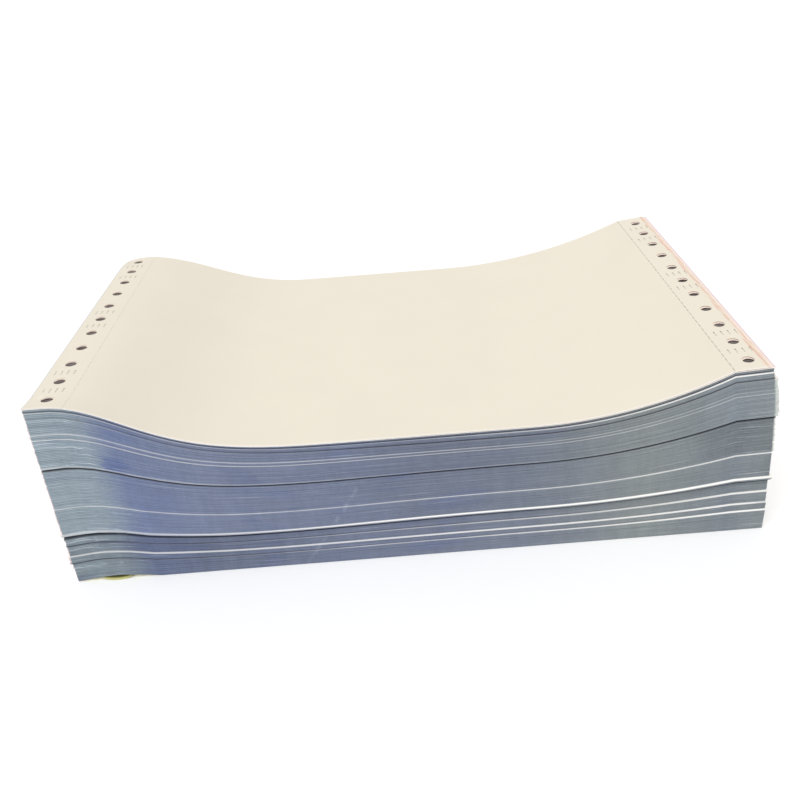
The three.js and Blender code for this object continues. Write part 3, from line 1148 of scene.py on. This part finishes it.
# %% [markdown]
# ## Dress the pieces
# Every piece stands for the one solid of the frame and rides on its body, and takes its paper
# finish.

# %% Materials and body
for finish in (fold_faces, cut_edges, yellow_paper, white_paper, hole_walls):
    stack.data.materials.append(finish.material)
stack.data.polygons.foreach_set("material_index", finish_of_face)
top_ply.data.materials.append(white_paper.material)
second_ply.data.materials.append(pink_paper.material)
tongues.data.materials.append(crimp_paper.material)
bottom_ply.data.materials.append(drooping_paper.material)

for piece in (stack, top_ply, second_ply, tongues, bottom_ply):
    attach(piece, "root")
    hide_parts("fanfold_stack")
    print(piece.name, count_triangles(piece), "triangles")

# %% [markdown]
# ## The studio
# The floor is plain and pale. One broad light from above the front left gives the white top and
# soft shadows, and the white world fills in the folds.

# %% Floor and lights
FLOOR_SIZE = 16
FLOOR_DROP = 0.02 * MM
KEY_STRENGTH = 2.3
KEY_SOFTNESS = 60  # degrees across
KEY_TURN = (24, -8, 0)  # degrees, the light comes from above the front left
FILL_STRENGTH = 0.45

bpy.ops.object.select_all(action="DESELECT")
bpy.ops.mesh.primitive_plane_add(size=FLOOR_SIZE, location=(0, 0, -FLOOR_DROP))
floor = name_new("floor")
floor_finish = Finish("pale_floor", 0.9)
floor_finish.paint(tint(250, 250, 250))
floor.data.materials.append(floor_finish.material)

bpy.ops.object.light_add(type="SUN", rotation=np.radians(KEY_TURN))
key = bpy.context.object
key.data.energy = KEY_STRENGTH
key.data.angle = np.radians(KEY_SOFTNESS)

world = bpy.data.worlds.new("studio")
bpy.context.scene.world = world
world.use_nodes = True
world.node_tree.nodes["Background"].inputs["Color"].default_value = (1, 1, 1, 1)
world.node_tree.nodes["Background"].inputs["Strength"].default_value = FILL_STRENGTH
bpy.context.scene.view_settings.view_transform = "Standard"
print("floor and lights ready")

# %% [markdown]
# ## The camera
# The camera was found from the rows of holes, whose real spacing is known. It stands a forearm's
# length in front of the stack and looks down on it, held a little askew.

# %% Camera
CAMERA_PLACE = Vector((-6.40, -293.73, 196.00)) * MM
CAMERA_YAW = 0.01288
CAMERA_PITCH = 0.53498
CAMERA_ROLL = -0.07337
FOCAL_PIXELS = 834.0
IMAGE_PIXELS = 800
SENSOR = 36

bpy.ops.object.camera_add()
camera = bpy.context.object
camera.data.sensor_width = SENSOR
camera.data.lens = FOCAL_PIXELS / IMAGE_PIXELS * SENSOR
level_view = Vector((np.sin(CAMERA_YAW), np.cos(CAMERA_YAW), 0))
ahead = level_view * np.cos(CAMERA_PITCH) - Vector((0, 0, 1)) * np.sin(CAMERA_PITCH)
level_right = Vector((np.cos(CAMERA_YAW), -np.sin(CAMERA_YAW), 0))
level_up = level_right.cross(ahead)
right = level_right * np.cos(CAMERA_ROLL) + level_up * np.sin(CAMERA_ROLL)
up = level_up * np.cos(CAMERA_ROLL) - level_right * np.sin(CAMERA_ROLL)
pose = Matrix((right, up, -ahead)).transposed().to_4x4()
pose.translation = CAMERA_PLACE
camera.matrix_world = pose
camera.data.clip_start = 0.01
camera.data.clip_end = 100
bpy.context.scene.camera = camera
print("lens:", round(camera.data.lens, 2), "mm")
